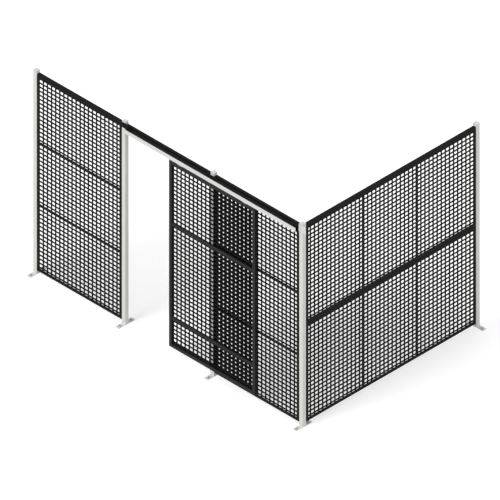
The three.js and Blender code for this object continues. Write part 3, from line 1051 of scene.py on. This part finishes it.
door_low, door_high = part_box("door_frame")
start_ring(door_low, door_high, DOOR_FACE)
bpy.ops.mesh.select_all(action="SELECT")
extrude(0, door_high.y - door_low.y, 0)
bpy.ops.mesh.select_all(action="SELECT")
bpy.ops.mesh.normals_make_consistent(inside=False)
for front in (True, False):
    weld_mitres(door_low, door_high, front)
door_frame = eased(DOOR_CORNER, segments=4)
door_middle = (door_low + door_high) / 2
groove_front, groove_back = door_middle.y - GROOVE_WIDTH / 2, door_middle.y + GROOVE_WIDTH / 2
start_box(
    (door_low.x - GROOVE_OVERRUN, groove_front, door_low.z - GROOVE_OVERRUN),
    (door_high.x + GROOVE_OVERRUN, groove_back, door_low.z + GROOVE_DEPTH),
)
combine(door_frame, finished(), "DIFFERENCE", "FAST")
dress(door_frame, "door_tube_frame", charcoal_coat, "door", ["door_frame"])

# ---- door mesh and rails ----
# The leaf carries the same welded wire as the panels, flush with the back of its frame, here with
# the level wires in front. Two flat rails are welded across the mesh between the stiles.

DOOR_FIRST_ROW = 0.0701

bay_low, bay_high = wall_box("left_bay_frame")
door_sheet = mesh_sheet(
    *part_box("door_mesh"),
    column_places(bay_high.x - bay_low.x, door_high.x - door_low.x - 2 * DOOR_FACE),
    wire_places(
        DOOR_FIRST_ROW - (door_high.z - door_low.z) / 2,
        ROW_PITCH,
        door_high.z - door_low.z - 2 * DOOR_FACE,
    ),
    uprights_in_front=False,
)
dress(door_sheet, "door_wires", black_coat, "door", ["door_mesh"])
for name in ("lower", "upper"):
    rail = flat_bar(*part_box("door_rail_" + name), "x")
    dress(rail, name + "_rail_bar", charcoal_coat, "door", ["door_rail_" + name])

# ---- hangers and axles ----
# Each hanger is a zinc-plated plate with a round head, welded upright on a foot that four low
# button screws hold down on the leaf's top rail. A turned axle runs through the boss in its head.

HANGER_NECK = 0.022
HANGER_HALF = 0.003
HANGER_FOOT = 0.005
HEAD_RADIUS = 0.012
BOSS_RADIUS = 0.008
BOSS_LENGTH = 0.0124
BORE_RADIUS = 0.0053
HANGER_EDGE = 0.0006
AXLE_EDGE = 0.0008
FOOT_SCREW = (0.0047, 0.0022)  # radius and height
FOOT_SCREW_PLACE = (0.021, 0.011)  # along the rail and across it, from the hanger's middle
HANGER_SIDES = 48

foot_screw = pan_screw(*FOOT_SCREW)
axle_low, axle_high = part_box("axle_left")
axle_middle = (axle_low + axle_high) / 2
hang_low, hang_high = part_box("hanger_left")
foot_top = hang_low.z + HANGER_FOOT
start_box(hang_low, (hang_high.x, hang_high.y, foot_top))
bpy.ops.mesh.bevel(offset=HANGER_EDGE, segments=2)
hanger = finished()
start_box(
    (axle_middle.x - HANGER_NECK, axle_middle.y - HANGER_HALF, foot_top - HANGER_EDGE),
    (axle_middle.x + HANGER_NECK, axle_middle.y + HANGER_HALF, axle_middle.z),
)
pick("FACE", lambda face: face.normal.z > SQUARE_ON)
bpy.ops.transform.resize(value=(HEAD_RADIUS / HANGER_NECK, 1, 1), center_override=axle_middle)
combine(hanger, finished(), "UNION")
for radius, length in ((HEAD_RADIUS, 2 * HANGER_HALF), (BOSS_RADIUS, BOSS_LENGTH)):
    start_rod(axle_middle, radius, length, "y", HANGER_SIDES)
    combine(hanger, finished(), "UNION")
start_rod(axle_middle, BORE_RADIUS, 2 * BOSS_LENGTH, "y")
combine(hanger, finished(), "DIFFERENCE")

start_rod(axle_middle, axle_high.z - axle_middle.z, axle_high.y - axle_low.y, "y")
pick("EDGE", lambda edge: at(edge, "y", axle_low.y) or at(edge, "y", axle_high.y))
bpy.ops.mesh.bevel(offset=AXLE_EDGE, segments=2)
axle = finished()
for side in ("left", "right"):
    move = Matrix.Translation(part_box("axle_" + side)[0] - axle_low)
    plate = copy_of(hanger, move)
    dress(plate, side + "_hanger_plate", zinc, "door", ["hanger_" + side])
    pin = copy_of(axle, move)
    dress(pin, side + "_axle_pin", zinc, "door", ["axle_" + side])
    spots = [
        move @ aimed((axle_middle.x + x, axle_middle.y + y, foot_top), (0, 0, 1))
        for x in (-FOOT_SCREW_PLACE[0], FOOT_SCREW_PLACE[0])
        for y in (-FOOT_SCREW_PLACE[1], FOOT_SCREW_PLACE[1])
    ]
    bolt_set(foot_screw, side + "_hanger_screws", spots, zinc, "door")
bpy.data.objects.remove(hanger)
bpy.data.objects.remove(axle)

# ---- wheels ----
# Two turned nylon wheels on each axle roll on the track's lips. Each is pressed on a small steel
# ball bearing, with a shallow recess turned in both sides.

WHEEL_SIDES = 48
WHEEL_BORE = 0.011
WHEEL_BEVEL = 0.0015
RECESS_IN = 0.0022
RECESS_DEPTH = 0.0008
BEARING_BORE = 0.0053
BEARING_INSET = 0.0004

# PA6 nylon turned from bar, 0.8 mm grit: a warm off-white with a dull waxy skin.
nylon = (
    moulded("turned_pa6_nylon", "#e2dccd", "#d6cfbd", roughness=0.48, grit=0.0008),
    "nylon",
)


def hollow_disc(middle, radius, bore, width, step_in, step_depth):
    """A disc along y, bored through, with a shallow step down round the bore on both sides."""
    start_rod(middle, radius, width, "y", WHEEL_SIDES)
    pick("FACE", lambda face: abs(face.normal.y) > SQUARE_ON)
    bpy.ops.mesh.inset(thickness=step_in, use_individual=True)
    for side in (-1, 1):
        end = middle.y + side * width / 2

        def on_end(face):
            return face.normal.y * side > SQUARE_ON and round_end(face) and at(face, "y", end)

        pick("FACE", on_end)
        extrude(0, -side * step_depth, 0)
        bpy.ops.mesh.inset(thickness=radius - step_in - bore)
    pick("FACE", round_end)
    bpy.ops.mesh.delete(type="FACE")
    pick("EDGE", lambda edge: edge.is_boundary)
    bpy.ops.mesh.bridge_edge_loops()
    return finished()


for side in ("left", "right"):
    for face in ("front", "back"):
        node = f"wheel_{side}_{face}"
        low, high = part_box(node)
        middle = (low + high) / 2
        width = high.y - low.y
        rim = (high.z - low.z) / 2
        hollow_disc(middle, rim, WHEEL_BORE, width, RECESS_IN, RECESS_DEPTH)
        bpy.ops.object.mode_set(mode="EDIT")

        def on_rim(edge):
            ends = [math.hypot(c.co.x - middle.x, c.co.z - middle.z) for c in edge.verts]
            return min(ends) > rim - NEAR and (at(edge, "y", low.y) or at(edge, "y", high.y))

        pick("EDGE", on_rim)
        bpy.ops.mesh.bevel(offset=WHEEL_BEVEL, segments=3)
        dress(finished(), f"{side}_{face}_tyre", nylon, side + "_wheels", [node])
        bearing = hollow_disc(
            middle, WHEEL_BORE, BEARING_BORE, width - 2 * BEARING_INSET, RECESS_IN, RECESS_DEPTH
        )
        dress(bearing, f"{side}_{face}_bearing", zinc, side + "_wheels")

# ---- floor guide ----
# A folded zinc-plated arm is bolted to the middle post's side, under the edge of the doorway. The
# block of wear-resistant plastic on it stands up in the groove of the leaf's bottom rail.

ARM_WALL = 0.005
ARM_EDGE = 0.0008
BLOCK_EDGE = 0.002
BLOCK_BOLT = 0.008  # from the block's middle

# UHMW polyethylene milled from sheet, 1 mm grit: black, dull and a little waxy.
guide_plastic = (
    moulded("machined_uhmw_polyethylene", "#161617", "#1f1f20", roughness=0.5, grit=0.001),
    "guide_plastic",
)

arm_low, arm_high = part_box("guide_arm")
wall_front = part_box("left_bay_frame")[0].y
start_box((arm_low.x, arm_low.y, arm_high.z - ARM_WALL), (arm_high.x, wall_front, arm_high.z))
arm = finished()
tab_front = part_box("middle_post")[0].y
start_box((arm_high.x - ARM_WALL, tab_front, arm_low.z), (arm_high.x, arm_high.y, arm_high.z))
combine(arm, finished(), "UNION")
bpy.ops.object.select_all(action="DESELECT")
arm.select_set(True)
arm = eased(ARM_EDGE)
block_low, block_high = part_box("guide_block")
block_middle = (block_low + block_high) / 2
arm_under = arm_high.z - ARM_WALL
tab_z = (arm_low.z + arm_under) / 2
spots = []
for share in BOLT_PAIR:
    tab_bolt = (arm_high.x - ARM_WALL, tab_front + share * (arm_high.y - tab_front), tab_z)
    spots.append(aimed(tab_bolt, (-1, 0, 0)))
for offset in (-BLOCK_BOLT, BLOCK_BOLT):
    block_bolt = (block_middle.x + offset, block_middle.y, arm_under)
    spots.append(aimed(block_bolt, (0, 0, -1)))
arm = gather([arm] + [copy_of(m6_bolt, spot) for spot in spots])
dress(arm, "floor_guide_arm", zinc, nodes=["guide_arm"])
start_box(block_low, block_high)
bpy.ops.mesh.bevel(offset=BLOCK_EDGE, segments=3)
dress(finished(), "floor_guide_block", guide_plastic, nodes=["guide_block"])
for pattern in (foot_screw, m6_bolt, m8_bolt):
    bpy.data.objects.remove(pattern)

# ---- studio ----
# A pale floor that is white to the camera and keeps the partition's shadow, a white sky, one
# broad high lamp on the wall's face and a weak one on the return's. The camera looks down the
# isometric diagonal.

FLOOR_HALF = 40.0
FLOOR_PAINT = "#e7e7e7"
FLOOR_LIFT = "#bcbcbc"
SKY_WHITE = "#ffffff"
SKY_LIGHT = 0.45  # how strongly the sky lights the object
SKY_SEEN = 1.0  # how bright it looks
LAMP_DISTANCE = 10.0
VIEW_WIDTH = 5.0635
VIEW_AIM = Vector((-1.299, 0.546, 1.259))
VIEW_FROM = Vector((1, -1, 1)).normalized()
VIEW_TURN = math.radians(45)
VIEW_DISTANCE = 12.0
VIEW_REACH = 60.0

bpy.ops.object.select_all(action="DESELECT")
bpy.ops.mesh.primitive_plane_add(size=2 * FLOOR_HALF)
floor = bpy.context.object
floor.name = "studio_floor"
floor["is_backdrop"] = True


def seen_directly(tree):
    """1 for a ray from the camera, a reflection or a transmission, and 0 for light."""
    path = add_node(tree, "ShaderNodeLightPath", {})
    mirrored = add_node(
        tree,
        "ShaderNodeMath",
        {"operation": "MAXIMUM"},
        {0: path.outputs["Is Camera Ray"], 1: path.outputs["Is Glossy Ray"]},
    )
    every = add_node(
        tree,
        "ShaderNodeMath",
        {"operation": "MAXIMUM"},
        {0: mirrored.outputs["Value"], 1: path.outputs["Is Transmission Ray"]},
    )
    return every.outputs["Value"]


# Matt floor paint, lifted to white where it is looked at.
floor_paint = bpy.data.materials.new("matt_floor_paint")
floor_paint.use_nodes = True
tree = floor_paint.node_tree
tree.nodes.remove(tree.nodes["Principled BSDF"])
matt = add_node(tree, "ShaderNodeBsdfDiffuse", {"Color": tint(FLOOR_PAINT)})
lift = add_node(
    tree, "ShaderNodeEmission", {"Color": tint(FLOOR_LIFT)}, {"Strength": seen_directly(tree)}
)
both = add_node(tree, "ShaderNodeAddShader", {}, {0: matt.outputs[0], 1: lift.outputs[0]})
tree.links.new(both.outputs[0], tree.nodes["Material Output"].inputs["Surface"])
floor.data.materials.append(floor_paint)

sky = bpy.data.worlds.new("white_sky")
bpy.context.scene.world = sky
sky.use_nodes = True
tree = sky.node_tree
tree.nodes.clear()
light = add_node(tree, "ShaderNodeBackground", {"Color": tint(SKY_WHITE), "Strength": SKY_LIGHT})
shown = add_node(tree, "ShaderNodeBackground", {"Color": tint(SKY_WHITE), "Strength": SKY_SEEN})
either = add_node(
    tree,
    "ShaderNodeMixShader",
    {},
    {0: seen_directly(tree), 1: light.outputs[0], 2: shown.outputs[0]},
)
add_node(tree, "ShaderNodeOutputWorld", {}, {"Surface": either.outputs[0]})

for name, azimuth, elevation, strength, softness in (
    ("key_lamp", -10, 45, 1.45, 25),
    ("fill_lamp", 90, 35, 0.5, 40),
):
    # Azimuth 0 shines from -Y, and 90 from +X.
    side, up = math.radians(azimuth), math.radians(elevation)
    source = Vector((math.sin(side) * math.cos(up), -math.cos(side) * math.cos(up), math.sin(up)))
    bpy.ops.object.light_add(type="SUN", location=LAMP_DISTANCE * source)
    lamp = bpy.context.object
    lamp.name = name
    lamp.rotation_euler = source.to_track_quat("Z", "Y").to_euler()
    lamp.data.energy = strength
    lamp.data.angle = math.radians(softness)

bpy.ops.object.camera_add(
    location=VIEW_AIM + VIEW_DISTANCE * VIEW_FROM,
    rotation=(math.acos(VIEW_FROM.z), 0, VIEW_TURN),
)
camera = bpy.context.object
camera.data.type = "ORTHO"
camera.data.ortho_scale = VIEW_WIDTH
camera.data.clip_end = VIEW_REACH
bpy.context.scene.camera = camera
bpy.context.scene.view_settings.view_transform = "Standard"

low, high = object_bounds()
